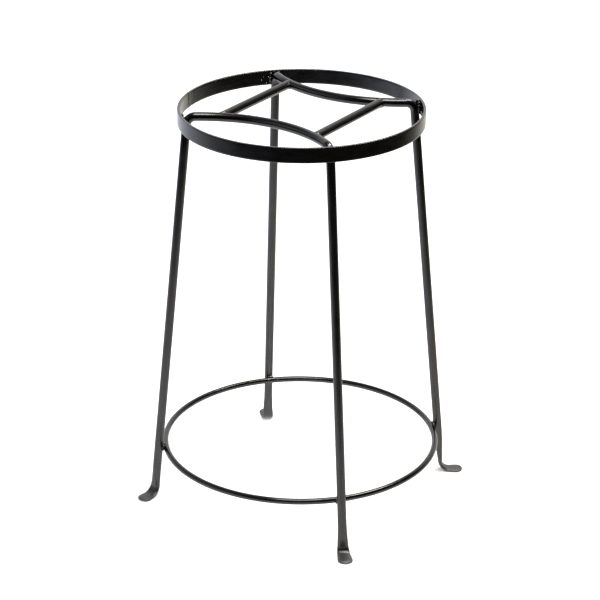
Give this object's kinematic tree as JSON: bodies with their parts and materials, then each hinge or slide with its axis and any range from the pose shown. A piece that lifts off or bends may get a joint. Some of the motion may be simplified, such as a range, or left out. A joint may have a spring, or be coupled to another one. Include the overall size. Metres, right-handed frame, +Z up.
{
  "type": "plant stand",
  "caption": "Tall round wrought-iron plant stand: a flat-bar hoop with a lattice of bars across its top, splayed legs with forged flat feet, and a thin tie ring low down.",
  "frame": {"origin": "on the floor, under the centre of the top hoop", "axes": "+Z up; the lattice's two rails run along X, the front one at -Y and the rear one at +Y; the crossbars run along Y"},
  "size_m": [0.3585, 0.3585, 0.5226],
  "materials": {
    "bar_iron": "satin graphite-black over hot-rolled bar, slightly brushed",
    "weld_metal": "satin graphite-black over rippled weld beads"
  },
  "bodies": {
    "root": {"top_band": "bar_iron", "band_butt_weld": "weld_metal", "front_leg_bar": "bar_iron", "rear_leg_bar": "bar_iron", "left_crossbar": "bar_iron", "right_crossbar": "bar_iron", "lower_ring": "bar_iron", "ring_butt_weld": "weld_metal", "front_left_band_weld": "weld_metal", "front_left_crossbar_weld": "weld_metal", "front_left_ring_weld": "weld_metal", "front_right_band_weld": "weld_metal", "front_right_crossbar_weld": "weld_metal", "front_right_ring_weld": "weld_metal", "rear_right_band_weld": "weld_metal", "rear_right_crossbar_weld": "weld_metal", "rear_right_ring_weld": "weld_metal", "rear_left_band_weld": "weld_metal", "rear_left_crossbar_weld": "weld_metal", "rear_left_ring_weld": "weld_metal"}
  },
  "joints": []
}
